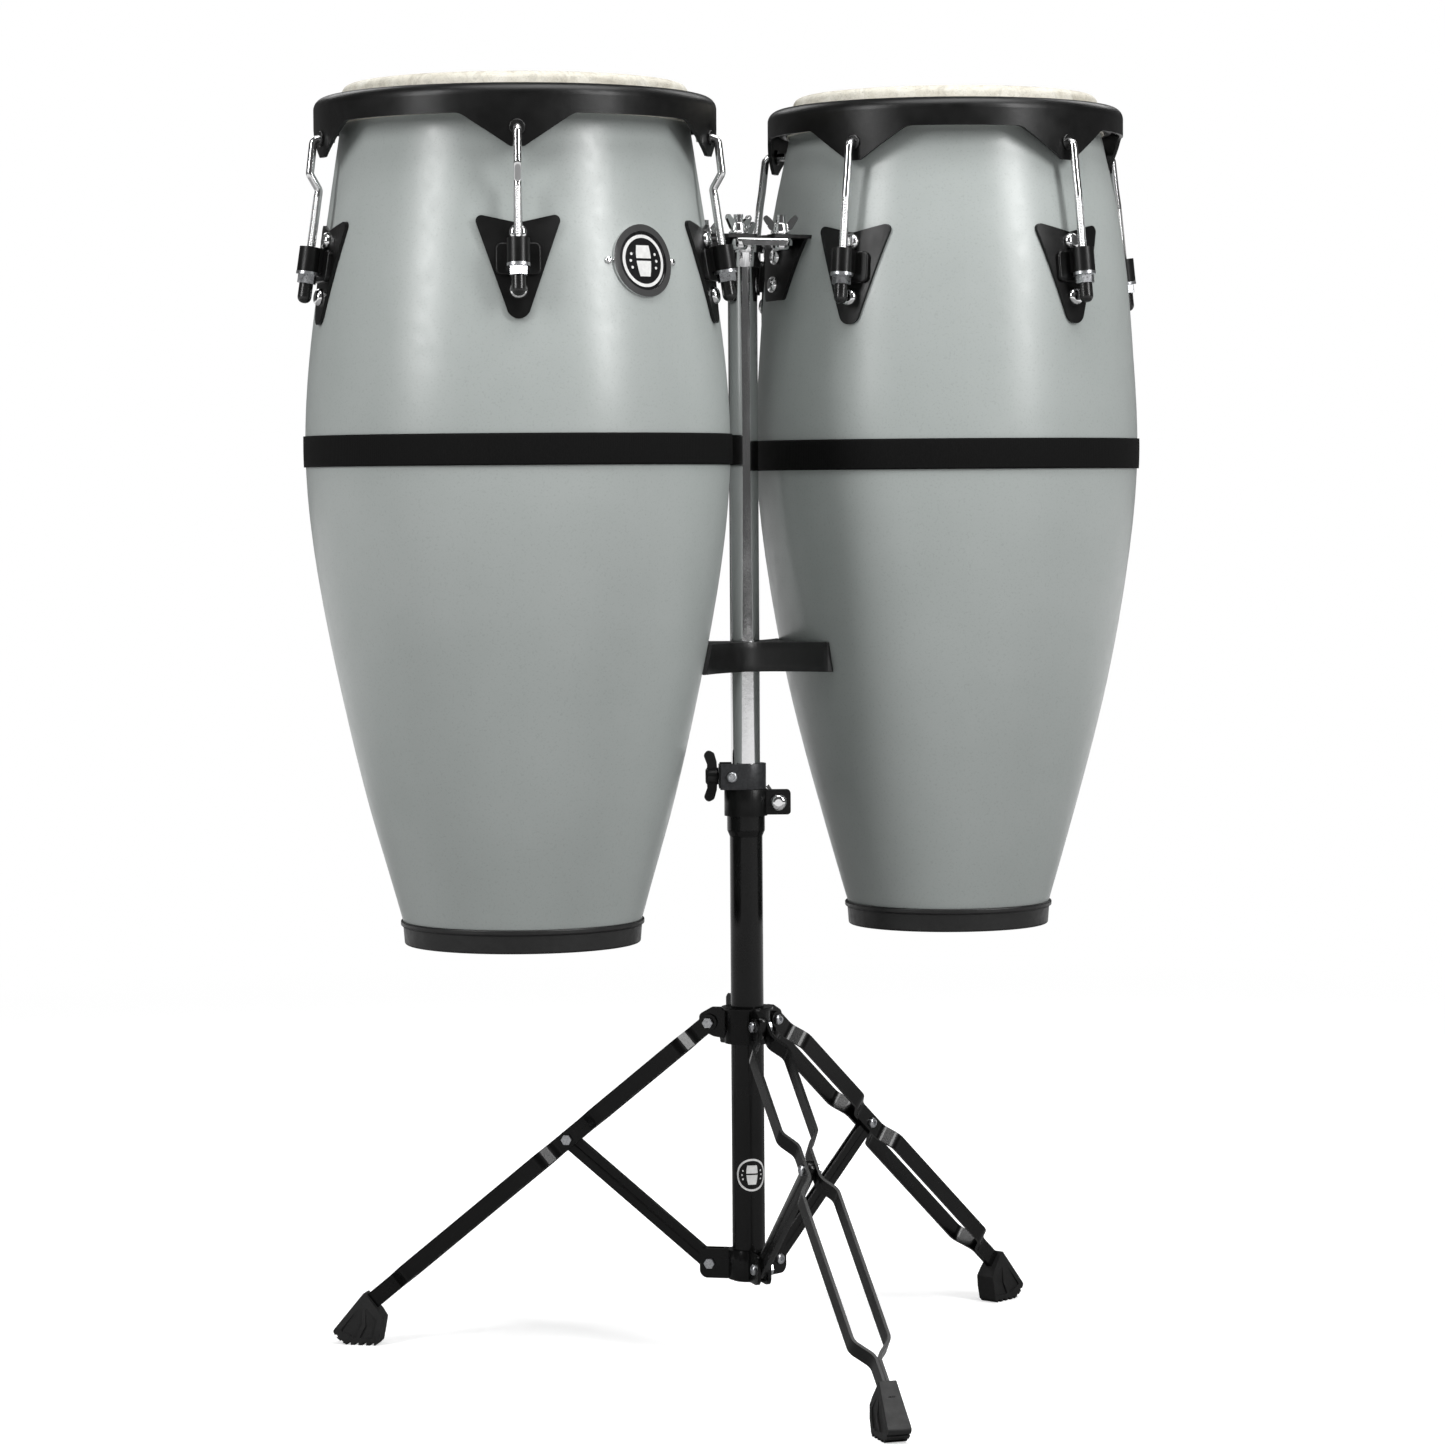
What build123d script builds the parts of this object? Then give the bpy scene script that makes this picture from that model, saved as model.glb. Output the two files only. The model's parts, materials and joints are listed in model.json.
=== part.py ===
from build123d import *
from dataclasses import dataclass
from math import atan2, cos, degrees, hypot, radians, sin
import os

# A pair of conga drums on a double stand, in millimetres.
# The origin is on the floor, on the axis of the stand's tube; +Z is up.
# Players stand at +Y, behind the drums; the front leg points towards -Y.

# The drums
DRUM_HEIGHT = 711.0        # 28 inches, from the rubber bumper to the skin
DRUM_FLOOR = 366.0         # height of both drums' lower edges
LINE_DEG = 20.0            # the line through both drum axes, turned from +X
WALL = 10.0                # thickness of the wooden shell
SKIN = 2.4                 # thickness of the rawhide
LUG_ANGLES = (36, 108, 180, 252, 324)   # round each drum, from its bracket
LUG_TOP = 597.0            # heights from the drum's lower edge
LUG_BARREL = 563.5
LUG_BOLTS = (580.6, 535.0)
BARREL_OFF = 16.0          # barrel axis, out from the shell
HOOK_R = 3.3
RIM_TOP = 700.0
RIM_BAND = 24.0            # height of the rim's outer band
RIM_SHEET = 3.0
HOOK_HOLE = 664.0
HOOP_Z = 682.0             # middle of the flesh hoop, hidden by the rim's band
BAND_WIDTH = 25.5          # the woven band round the belly
BUMPER_HEIGHT = 20.0
SHEET = 3.0                # steel sheet of the lugs and brackets
BADGE_DEG = -70.0          # round the large drum, from its bracket
BADGE_Z = 560.0

# The drum mount on top of the stand
PLATE_TOP = 952.0
PLATE_SIZE = (56.0, 104.0, 6.0)
MOUNT_BOLT = (19.0, 40.3)  # mount bolts, along and across the drums' line
MOUNT_BOLT_R = 4.0
CRADLE = (588.5, 613.5)    # bottom and top of the lower cradle

# The stand's column, round which everything below is drawn. The finished set is
# moved so that the middle of its outline from above stands on the origin.
TUBE_PLACE = (9.5, 39.6, 0)
RISER_R = 12.5
BASE_R = 14.0
BELL_R = 16.15
BASE_BOTTOM = 67.0
BELL_TOP = 488.0
STOP_TOP = 510.0

# The folding legs: P is the pivot on the sliding collar, Q the pivot on the
# fixed collar, and B the pivot between leg and brace, in the leg's own plane.
LEG_ANGLES = {"left": 167.0, "right": 47.0, "front": 287.0}
PIVOT_R = 33.0
P_Z = 288.0
Q_Z = 81.0
B_R = 158.0
B_Z = (P_Z + Q_Z) / 2
FOOT_R = 341.0
STRAP = (14.4, 2.6)        # width and thickness of a leg strap
STRAP_IN = 4.6             # strap centre from the leg's plane at the pivots
STRAP_OUT = 15.5           # and where the pair is spread apart
PIN_R = 2.5
MOUTH = 388.0              # from P, along the leg, to where the straps enter the foot
GAP = 0.3                  # between parts that move past each other


@dataclass
class Drum:
    name: str
    side: int              # -1 stands at -X of the column, +1 at +X
    reach: float           # drum axis to column axis
    rim_r: float
    bumper_r: float
    band_z: float
    outline: tuple         # (height, outer radius) up the shell's side


LARGE = Drum("large", -1, 201.0, 166.5, 99.7, 410.0, (
    (0, 94.5), (30, 102.7), (103, 123.4), (202, 147.0), (301, 166.0), (409, 176.2),
    (500, 170.6), (608, 154.9), (660, 147.0), (DRUM_HEIGHT - SKIN, 139.7)))
SMALL = Drum("small", 1, 188.0, 152.5, 87.5, 405.0, (
    (0, 81.5), (30, 90.2), (114, 113.8), (201, 135.9), (305, 154.9), (408, 164.2),
    (495, 160.5), (588, 151.8), (640, 142.0), (DRUM_HEIGHT - SKIN, 127.0)))


# ---------------------------------------------------------------- helpers

def rounded(corners):
    """A flat polygon from (x, y, corner radius) triples, facing +Z."""
    face = Polygon(*[(x, y) for x, y, _ in corners], align=None)
    if face.faces()[0].normal_at().Z < 0:
        return rounded(corners[::-1])
    for x, y, radius in corners:
        if radius:
            face = fillet(face.vertices().sort_by_distance((x, y, 0))[:1], radius)
    return face


def turned(face):
    """Revolve a (radius, height) face round Z, its seam between two lugs."""
    return Rot(0, 0, 72) * revolve(Plane.XZ * face, Axis.Z)


def tube(r_in, r_out, z0, z1):
    return turned(Pos((r_in + r_out) / 2, (z0 + z1) / 2) * Rectangle(r_out - r_in, z1 - z0))


def block(x0, x1, y0, y1, z0, z1):
    return Pos((x0 + x1) / 2, (y0 + y1) / 2, (z0 + z1) / 2) * Box(x1 - x0, y1 - y0, z1 - z0)


def rod(radius, z0, z1):
    return Pos(0, 0, (z0 + z1) / 2) * Cylinder(radius, z1 - z0)


def round_about(angles, shapes):
    """Copies of some solids, turned round Z to each angle."""
    return [Rot(0, 0, angle) * shape for angle in angles for shape in shapes]


def dome(radius, height):
    """A domed bolt head that sits on Z = 0."""
    head = rod(radius, 0, height)
    return fillet(head.edges().group_by(Axis.Z)[-1], height * 0.92)


def carriage_bolt(head_r, head_h, shank_r, length):
    """Head outwards along +Z, shank down to -length."""
    return dome(head_r, head_h) + rod(shank_r, -length, 0.2)


def hex_nut(flats, height, hole_r):
    return extrude(RegularPolygon(flats / 2, 6, major_radius=False), height) - rod(hole_r, -1, height + 1)


def button_screw(head_r, head_h, shank_r, length, socket=2.6):
    """A domed screw with a hexagon socket, head outwards along +Z."""
    head = rod(head_r, 0, head_h)
    head = fillet(head.edges().group_by(Axis.Z)[-1], head_h * 0.7)
    pocket = Pos(0, 0, head_h * 0.4) * extrude(RegularPolygon(socket, 6), head_h)
    return head - pocket + rod(shank_r, -length, 0.1)


def wing_nut(bore_r):
    """A pressed wing nut that stands on Z = 0."""
    hub = turned(rounded([(0, 0, 0), (8.2, 0, 0), (8.2, 1.6, 0.6), (6.8, 2.4, 0),
                          (5.6, 9.5, 1.0), (0, 9.5, 0)]))
    wing = rounded([(4.5, 1.8, 0), (9.5, 4.5, 2), (15, 13.5, 2), (12.5, 17, 2),
                    (8.2, 13.2, 2), (4.5, 8.5, 0)])
    wing = extrude(Plane.XZ * wing, 1.5, both=True)
    return hub + wing + Rot(0, 0, 180) * wing - rod(bore_r, -1, 20)


def wing_knob(shank_r, shank_length):
    """A plastic thumb knob on a screw; it points out along +Z."""
    hub = fillet(rod(7.2, 0, 11).edges().group_by(Axis.Z)[-1], 2.5)
    lobe = rounded([(3, 0.8, 0), (12, 1.4, 2), (19.5, 3.5, 3), (22.5, 9, 3.5),
                    (18, 12.5, 3), (10, 9.5, 2), (3, 10.0, 0)])
    lobe = extrude(Plane.XZ * lobe, 3.4, both=True)
    lobe = lobe - [Pos(14.5 + 2.4 * i, 3.6, 9) * Box(0.9, 0.8, 14) for i in range(3)]
    return hub + lobe + Rot(0, 0, 180) * lobe + rod(shank_r, -shank_length, 0.2)


# ----------------------------------------------------------- shell geometry

def side_line(drum, grow):
    """The shell's side as a smooth line, with its radius changed by grow.

    The lowest and highest stretches are straight cones.
    """
    points = [(radius + grow, height) for height, radius in drum.outline]
    foot = Line(points[0], points[1])
    crown = Line(points[-2], points[-1])
    belly = Spline(*points[1:-1], tangents=[foot % 1, crown % 0])
    return [foot, belly, crown]


def skin(drum, inner, outer):
    """A full-height layer that follows the shell, between two offsets."""
    near, far = side_line(drum, inner), side_line(drum, outer)
    ends = [Line(near[0] @ 0, far[0] @ 0), Line(near[-1] @ 1, far[-1] @ 1)]
    return turned(make_face(Wire(near + far + ends)))


def radius_at(drum, height):
    """Outer radius of the shell at a height, found by halving."""
    side = Wire(side_line(drum, 0))
    low, high = 0.0, 1.0
    for _ in range(30):
        middle = (low + high) / 2
        if (side @ middle).Y < height:
            low = middle
        else:
            high = middle
    return (side @ low).X


def slope_at(drum, height):
    """Angle by which the shell's outward normal points up, in degrees."""
    rise = radius_at(drum, height + 2) - radius_at(drum, height - 2)
    return degrees(atan2(-rise, 4))


def on_shell(drum, height):
    """A place on the shell at +X: local +Z outwards, local +X down the side."""
    return Location((radius_at(drum, height), 0, height), (0, 90 - slope_at(drum, height), 0))


def placed(drum, shapes):
    """Move solids from the drum's own frame, bracket at +X, to the stand."""
    turn = LINE_DEG + (0 if drum.side < 0 else 180)
    x = drum.side * drum.reach * cos(radians(LINE_DEG))
    y = drum.side * drum.reach * sin(radians(LINE_DEG))
    spot = Location((x, y, DRUM_FLOOR), (0, 0, turn))
    return [spot * shape for shape in shapes]


# -------------------------------------------------------------- drum pieces

def bolt_places(drum):
    """Places of every bolt through the shell: five lugs and the bracket."""
    lugs = [Rot(0, 0, angle) * on_shell(drum, height) for angle in LUG_ANGLES for height in LUG_BOLTS]
    return lugs + [on_shell(drum, height) for height in bracket_bolts()]


def bracket_bolts():
    top = PLATE_TOP - DRUM_FLOOR
    return (top - 13.0, top - 36.5)


def shell(drum):
    """A turned stave shell, open below, with a rounded bearing edge on top."""
    outer, inner = side_line(drum, 0), side_line(drum, -WALL)
    ends = [Line(outer[0] @ 0, inner[0] @ 0), Line(outer[-1] @ 1, inner[-1] @ 1)]
    face = make_face(Wire(outer + inner + ends))
    top_r, top_z = (outer[-1] @ 1).X, (outer[-1] @ 1).Y
    for x, radius in ((top_r, 4.6), (top_r - WALL, 3.0)):
        face = fillet(face.vertices().sort_by_distance((x, top_z, 0))[:1], radius)
    body = turned(face) - rod(120, -5, 4)
    for place in bolt_places(drum):
        body = body - place * rod(3.1, -30, 10)
    return body


def crown_radius(drum, height, grow):
    """Radius of the straight upper cone, widened by grow."""
    (z0, r0), (z1, r1) = drum.outline[-2:]
    return r0 + (r1 - r0) * (height - z0) / (z1 - z0) + grow


def head(drum):
    """The rawhide: flat across the top and lapped down over the shell."""
    skirt = HOOP_Z - 4.4
    gap = 0.1
    low, high = gap, gap + SKIN
    top = DRUM_HEIGHT
    under = top - SKIN + gap
    return turned(rounded([
        (0, top, 0), (crown_radius(drum, top, high), top, 7.2),
        (crown_radius(drum, skirt, high), skirt, 0), (crown_radius(drum, skirt, low), skirt, 0),
        (crown_radius(drum, under, low), under, 4.6), (0, under, 0)]))


def flesh_hoop(drum):
    """The round hoop that the hide is lapped on, under the rim's inner edge."""
    centre = crown_radius(drum, HOOP_Z, SKIN + 4.4)
    return turned(Pos(centre, HOOP_Z) * Circle(4.0))


def rim(drum):
    """A pressed channel round the head with five hook flanges."""
    bottom = 649.0
    sheet = RIM_SHEET
    lap_top = crown_radius(drum, RIM_TOP, SKIN + 2.0)
    lap = HOOP_Z + 4.7
    lap_low = crown_radius(drum, lap, SKIN + 0.8)
    far = drum.rim_r
    channel = turned(rounded([
        (far, bottom, 0), (far, RIM_TOP, 9.5), (lap_top, RIM_TOP, 3.2), (lap_low, lap, 0),
        (lap_low + sheet, lap, 0), (lap_top + sheet, RIM_TOP - sheet, 0.8),
        (far - sheet, RIM_TOP - sheet, 6.5), (far - sheet, bottom, 0)]))
    edge = RIM_TOP - RIM_BAND
    flange = rounded([(-64, edge + 8, 0), (-64, edge, 0), (-46, edge, 14), (0, 645.2, 12),
                      (46, edge, 14), (64, edge, 0), (64, edge + 8, 0)])
    flange = extrude(Plane.YZ * flange, 60)
    flange = Pos(far - 30, 0, 0) * flange
    between = tube(far - sheet - 1, far + 1, bottom - 1, edge)
    between = between - round_about(LUG_ANGLES, [flange])
    holes = round_about(LUG_ANGLES, [Pos(far, 0, HOOK_HOLE) * Rot(0, 90, 0) * Cylinder(4.6, 20)])
    return channel - between - holes


def grommet(drum):
    """A rubber bush in a hook hole."""
    lip = turned(rounded([(HOOK_R + 0.1, -3.4, 0), (6.4, -3.4, 0.8), (6.4, -1.7, 0), (4.5, -1.7, 0),
                          (4.5, 1.7, 0), (6.4, 1.7, 0), (6.4, 3.4, 0.8), (HOOK_R + 0.1, 3.4, 0)]))
    return Pos(drum.rim_r - RIM_SHEET / 2, 0, HOOK_HOLE) * Rot(0, 90, 0) * lip


def barrel_place(drum):
    """The lug barrel's middle: local +X runs down along the hook."""
    return on_shell(drum, LUG_BARREL) * Pos(0, 0, BARREL_OFF)


def hook(drum):
    """A J-hook: through the flange, cranked inwards, then down the lug."""
    place = barrel_place(drum)
    crank = (place * Pos(-57, 0, 0)).position
    end = (place * Pos(32, 0, 0)).position
    far = drum.rim_r
    line = FilletPolyline((far - 11, 0, HOOK_HOLE), (far + 6.5, 0, HOOK_HOLE), (far + 10, 0, 635),
                          (crank.X, 0, crank.Z), (end.X, 0, end.Z), radius=5.5)
    return sweep(Plane(line @ 0, z_dir=line % 0) * Circle(HOOK_R), path=line)


def along_hook(drum, shape, start):
    """Put a solid that stands on Z = 0 on the hook, pointing down it."""
    return barrel_place(drum) * Pos(start, 0, 0) * Rot(0, 90, 0) * shape


def tuning_nut(drum):
    """A washer and a hexagon nut under the barrel."""
    washer = tube(HOOK_R + 0.1, 9.4, 0, 2.4)
    return [along_hook(drum, washer, 10.1), along_hook(drum, hex_nut(13.6, 7.0, HOOK_R + 0.1), 12.6)]


def hook_cap(drum):
    """A rubber cap over the hook's threaded end."""
    cap = fillet(rod(5.7, 0, 16).edges().group_by(Axis.Z)[-1], 5.0)
    return along_hook(drum, cap - rod(HOOK_R + 0.1, -1, 12.6), 19.7)


def lug(drum, layer):
    """An arrowhead side plate with an embossed saddle and a welded barrel."""
    arrow = rounded([(-36, LUG_TOP, 4.5), (0, LUG_TOP - 8, 2), (36, LUG_TOP, 4.5), (0, LUG_TOP - 103.7, 9.6)])
    plate = layer & extrude(Plane.YZ * arrow, 260)
    pad = Pos(4, 0, 0) * extrude(RectangleRounded(26, 36, 5), 6.1)
    pad = fillet(pad.edges().group_by(Axis.Z)[-1], 1.4) - block(-20, 30, -20, 20, -1, 1.2)
    pad = on_shell(drum, LUG_BARREL) * pad
    place = barrel_place(drum)
    neck = place * block(-10, 10, -6.5, 6.5, SHEET - BARREL_OFF + 0.5, 0)
    barrel = place * Rot(0, 90, 0) * Cylinder(9.2, 20)
    bore = place * Rot(0, 90, 0) * Cylinder(HOOK_R + 0.5, 40)
    body = plate + pad + neck + barrel - bore
    return body - [on_shell(drum, height) * rod(3.1, -5, 8) for height in LUG_BOLTS]


def shell_bolts(drum):
    """Domed bolts through the shell, each with a washer and nut inside."""
    pieces = []
    for place in bolt_places(drum):
        pieces.append(place * Pos(0, 0, SHEET + 0.35) * carriage_bolt(7.2, 4.4, 3.0, SHEET + WALL + 8))
        pieces.append(place * Pos(0, 0, -WALL - 2.2) * tube(3.1, 8.0, 0, 1.6))
        pieces.append(place * Pos(0, 0, -WALL - 7.4) * hex_nut(10.0, 5.0, 3.1))
    return pieces


def belly_band(drum):
    """The woven band glued round the widest part."""
    half = BAND_WIDTH / 2
    return skin(drum, 0.1, 1.6) & tube(100, 220, drum.band_z - half, drum.band_z + half)


def bumper(drum):
    """The rubber ring that the shell's lower edge sits in."""
    low = drum.outline[0][1]
    outer = drum.bumper_r
    ring = turned(rounded([
        (low - WALL - 1, 0, 1.2), (outer - 1.2, 0, 2.0), (outer, BUMPER_HEIGHT - 5, 1.0),
        (outer + 2.0, BUMPER_HEIGHT - 4, 1.4), (outer + 2.0, BUMPER_HEIGHT, 1.2),
        (low - WALL - 1, BUMPER_HEIGHT, 0)]))
    seat = skin(drum, -WALL - 4, 0.15) & tube(10, 200, 3.9, 60)
    return ring - seat


def mount_bracket(drum, layer):
    """A leaf bolted to the shell under a slotted flange for the stand."""
    top = PLATE_TOP - DRUM_FLOOR
    leaf = rounded([(-45, top + GAP + SHEET, 3), (45, top + GAP + SHEET, 3),
                    (19, top - 50, 4), (-19, top - 50, 4)])
    leaf = layer & extrude(Plane.YZ * leaf, 260)
    near, far = radius_at(drum, top) - 20, drum.reach - 5
    flange = rounded([(near, -45, 0), (drum.reach - 32, -51, 5), (far, -51, 5),
                      (far, 51, 5), (drum.reach - 32, 51, 5), (near, 45, 0)])
    flange = Pos(0, 0, top + GAP) * extrude(flange, SHEET)
    flange = flange - (skin(drum, -30, 0.1) & block(0, 260, -80, 80, top - 5, top + 10))
    x, y = MOUNT_BOLT
    reach = drum.reach
    slots = [block(reach - x, reach, side * y - 4.5, side * y + 4.5, top - 2, top + 8) +
             Pos(reach - x, side * y, top + 3) * Cylinder(4.5, 10) for side in (-1, 1)]
    holes = [on_shell(drum, height) * rod(3.1, -5, 8) for height in bracket_bolts()]
    return leaf + flange - slots - holes


def badge(drum, layer, inner_layer):
    """A round badge between two lugs: a bezel, its face and two screws."""
    place = Rot(0, 0, BADGE_DEG) * on_shell(drum, BADGE_Z)
    bezel = layer & place * tube(24.0, 29.5, -12, 12)
    face = inner_layer & place * rod(23.8, -12, 12)
    screws = []
    for side in (-1, 1):
        turn = BADGE_DEG + degrees(33.4 * side / radius_at(drum, BADGE_Z))
        screws.append(Rot(0, 0, turn) * on_shell(drum, BADGE_Z) * Pos(0, 0, 0.1) * dome(3.2, 2.4))
    return [bezel] + screws, [face]


def drum_pieces(drum):
    """Every node of one drum, in the drum's own frame."""
    sheet_layer = skin(drum, 0.1, 0.1 + SHEET)
    nodes = {
        "shell": [shell(drum)],
        "head": [head(drum)],
        "flesh_hoop": [flesh_hoop(drum)],
        "rim": [rim(drum)],
        "hook_grommets": round_about(LUG_ANGLES, [grommet(drum)]),
        "tuning_hooks": round_about(LUG_ANGLES, [hook(drum)]),
        "tuning_nuts": round_about(LUG_ANGLES, tuning_nut(drum)),
        "hook_caps": round_about(LUG_ANGLES, [hook_cap(drum)]),
        "lugs": round_about(LUG_ANGLES, [lug(drum, sheet_layer)]),
        "shell_bolts": shell_bolts(drum),
        "belly_band": [belly_band(drum)],
        "bumper": [bumper(drum)],
        "mount_bracket": [mount_bracket(drum, sheet_layer)],
    }
    if drum is LARGE:
        bezel, face = badge(drum, skin(drum, 0.1, 2.5), skin(drum, 0.1, 1.3))
        nodes["badge_bezel"] = bezel
        nodes["badge_face"] = face
    return {f"{drum.name}_{name}": placed(drum, solids) for name, solids in nodes.items()}


# -------------------------------------------------------------- mount and riser

def along_line(shapes):
    """Turn solids so that their +X runs along the drums' line."""
    return [Rot(0, 0, LINE_DEG) * shape for shape in shapes]


def top_plate():
    """The plate both drums hang on, with its boss on the riser."""
    along, across, thick = PLATE_SIZE
    plate = extrude(RectangleRounded(along, across, 8), thick)
    plate = fillet(plate.edges().group_by(Axis.Z)[-1], 1.2)
    plate = Pos(0, 0, PLATE_TOP - thick) * plate
    boss = rod(19, PLATE_TOP - thick - 4, PLATE_TOP - thick) + rod(15.5, PLATE_TOP - 22, PLATE_TOP - thick)
    x, y = MOUNT_BOLT
    holes = [Pos(i * x, j * y, PLATE_TOP) * Cylinder(MOUNT_BOLT_R + 0.2, 30) for i in (-1, 1) for j in (-1, 1)]
    return plate + boss - holes - rod(RISER_R + 0.05, PLATE_TOP - 40, PLATE_TOP - thick - 0.1)


def mount_bolts():
    """Four carriage bolts standing up through the plate."""
    x, y = MOUNT_BOLT
    bolt = Rot(180, 0, 0) * carriage_bolt(7.6, 3.6, MOUNT_BOLT_R, PLATE_SIZE[2] + 20)
    bolt = Pos(0, 0, PLATE_TOP - PLATE_SIZE[2] - 0.1) * bolt
    return [Pos(i * x, j * y, 0) * bolt for i in (-1, 1) for j in (-1, 1)]


def mount_wing_nuts():
    """One wing nut to a bolt, named by its corner of the plate."""
    x, y = MOUNT_BOLT
    turns = {"large_front": 25, "large_rear": -10, "small_front": -15, "small_rear": 40}
    nuts = {}
    for (name, turn), (i, j) in zip(turns.items(), ((-1, -1), (-1, 1), (1, -1), (1, 1))):
        spot = Pos(i * x, j * y, PLATE_TOP + GAP + SHEET + GAP) * Rot(0, 0, turn)
        nuts[f"wing_nut_{name}"] = along_line([spot * wing_nut(MOUNT_BOLT_R + 0.08)])
    return nuts


def riser_tube():
    return tube(RISER_R - 1.5, RISER_R, 330, PLATE_TOP - PLATE_SIZE[2] - 0.2)


def beside_cradle(offset):
    """Both shells widened by an offset, as cutters for the cradle."""
    low, high = CRADLE
    solids = []
    for drum in (LARGE, SMALL):
        layer = skin(drum, -60, offset)
        band = block(-300, 300, -300, 300, low - DRUM_FLOOR - 20, high - DRUM_FLOOR + 20)
        solids += placed(drum, [layer & band])
    return solids


def cradle_yoke():
    """A moulded yoke on the riser with a hollow for each shell."""
    low, high = CRADLE
    ends, waist = 58.0, 19.0
    front = Spline((-56, -ends), (-27, -31), (0, -waist), (27, -31), (52, -ends),
                   tangents=[(0.6, 0.8), (0.6, -0.8)])
    back = Spline((-56, ends), (-27, 31), (0, waist), (27, 31), (52, ends),
                  tangents=[(0.6, -0.8), (0.6, 0.8)])
    sides = [Polyline((-56, -ends), (-64, -ends), (-64, ends), (-56, ends)),
             Polyline((52, -ends), (62, -ends), (62, ends), (52, ends))]
    plan = make_face(Wire([front, back] + [edge for side in sides for edge in side.edges()]))
    yoke = Pos(0, 0, low) * extrude(plan, high - low)
    yoke = along_line([yoke])[0] - beside_cradle(3.4)
    return yoke - rod(RISER_R + 0.05, low - 1, high + 1)


def cradle_pads(drum):
    """The rubber facing between the yoke and one shell."""
    low, high = CRADLE
    angle = 23.0
    wedge = rounded([(0, 0, 0), (200, -200 * sin(radians(angle)) / cos(radians(angle)), 0),
                     (200, 200 * sin(radians(angle)) / cos(radians(angle)), 0)])
    wedge = Pos(0, 0, low - DRUM_FLOOR) * extrude(wedge, high - low)
    return placed(drum, [skin(drum, 0.35, 3.3) & wedge])


def upper_pieces():
    return {
        "riser_tube": [riser_tube()],
        "top_plate": along_line([top_plate()]),
        "mount_bolts": along_line(mount_bolts()),
        "cradle_yoke": [cradle_yoke()],
        "cradle_pads": cradle_pads(LARGE) + cradle_pads(SMALL),
        **mount_wing_nuts(),
    }


# ---------------------------------------------------- stop collar and clamp

def stop_collar():
    """The memory-lock band round the riser, closed by a block at -X."""
    low, high = BELL_TOP + GAP, STOP_TOP
    band = rod(17.3, low, high) + block(-22, 0, -17.3, 17.3, low, high)
    band = band - rod(RISER_R + 0.1, low - 1, high + 1)
    cavity = block(-30, -7, -13.8, 13.8, low - 1, high + 1)
    screws = Pos(-12, 0, (low + high) / 2) * Rot(90, 0, 0) * Cylinder(2.6, 60)
    return fillet((band - cavity).edges().filter_by(Axis.Z).group_by(Axis.X)[0], 1.0) - screws


def stop_block():
    """The threaded block between the band's ends."""
    low, high = BELL_TOP + GAP + 1, STOP_TOP - 1
    middle = (low + high) / 2
    solid = block(-23, -7.1, -13.7, 13.7, low, high) - rod(RISER_R + 0.15, low - 1, high + 1)
    side_bore = Pos(-12, 0, middle) * Rot(90, 0, 0) * Cylinder(2.3, 60)
    return solid - side_bore - Pos(-20, 0, middle) * Rot(0, 90, 0) * Cylinder(3.1, 24)


def stop_screws():
    """The two screws that hold the block in the band."""
    middle = (BELL_TOP + GAP + STOP_TOP) / 2
    screw = button_screw(4.5, 2.6, 2.2, 9.6)
    return [Pos(-12, side * 17.4, middle) * Rot(-90 * side, 0, 0) * screw for side in (-1, 1)]


def stop_wing():
    """Its thumb knob; the screw's end stops just short of the riser."""
    middle = (BELL_TOP + GAP + STOP_TOP) / 2
    return Pos(-23 - GAP, 0, middle) * Rot(0, -90, 0) * Rot(0, 0, 8) * wing_knob(3.0, 9.6)


def tube_clamp():
    """The split clamp round the bell, with two ears at +X."""
    low, high = BELL_TOP - 22.5, BELL_TOP
    ears = rounded([(0, low + 0.8, 0), (38, low + 0.8, 3), (38, high - 0.8, 3), (0, high - 0.8, 0)])
    ears = extrude(Plane.XZ * ears, 6.5, both=True)
    boss = Pos(27.5, 13, (low + high) / 2) * Rot(90, 0, 0) * Cylinder(7.5, 14)
    body = rod(18.4, low, high) + ears + boss
    body = body - rod(BELL_R + 0.1, low - 1, high + 1) - block(12, 40, -2.8, 2.8, low - 1, high + 1)
    return body - Pos(27.5, 0, (low + high) / 2) * Rot(90, 0, 0) * Cylinder(3.6, 60)


def clamp_bolt():
    middle = BELL_TOP - 11.25
    return Pos(27.5, -6.6, middle) * Rot(90, 0, 0) * carriage_bolt(7.4, 4.8, 3.4, 33)


def clamp_wing():
    """The clamp's wing nut, on the boss at the back."""
    middle = BELL_TOP - 11.25
    return Pos(27.5, 20 + GAP, middle) * Rot(-90, 0, 0) * Rot(0, 0, 55) * wing_nut(3.48)


def base_tube():
    """The lower tube, belled at the top to take the bushing."""
    wall, bell_low = 1.2, BELL_TOP - 40
    face = rounded([
        (BASE_R, BASE_BOTTOM, 0), (BASE_R, bell_low, 3), (BELL_R, bell_low + 5, 3), (BELL_R, BELL_TOP, 0),
        (BELL_R - wall, BELL_TOP, 0), (BELL_R - wall, bell_low + 5.5, 1.5), (BASE_R - wall, bell_low + 0.5, 1.5),
        (BASE_R - wall, BASE_BOTTOM, 0)])
    return turned(face) - block(10, 20, -1, 1, BELL_TOP - 26, BELL_TOP + 1)


def tube_bushing():
    return tube(RISER_R + 0.06, BELL_R - 1.3, BELL_TOP - 33, BELL_TOP)


# -------------------------------------------------------------------- legs

def leg_plane_point(distance, across):
    """A point on the leg's line, measured from P, and across its plane."""
    angle = atan2(B_R - PIVOT_R, P_Z - B_Z)
    return (PIVOT_R + distance * sin(angle), across, P_Z - distance * cos(angle))


def cross_pin(x, z, radius, half):
    """A round bar across the leg's plane."""
    return Pos(x, 0, z) * Rot(90, 0, 0) * Cylinder(radius, 2 * half)


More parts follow.
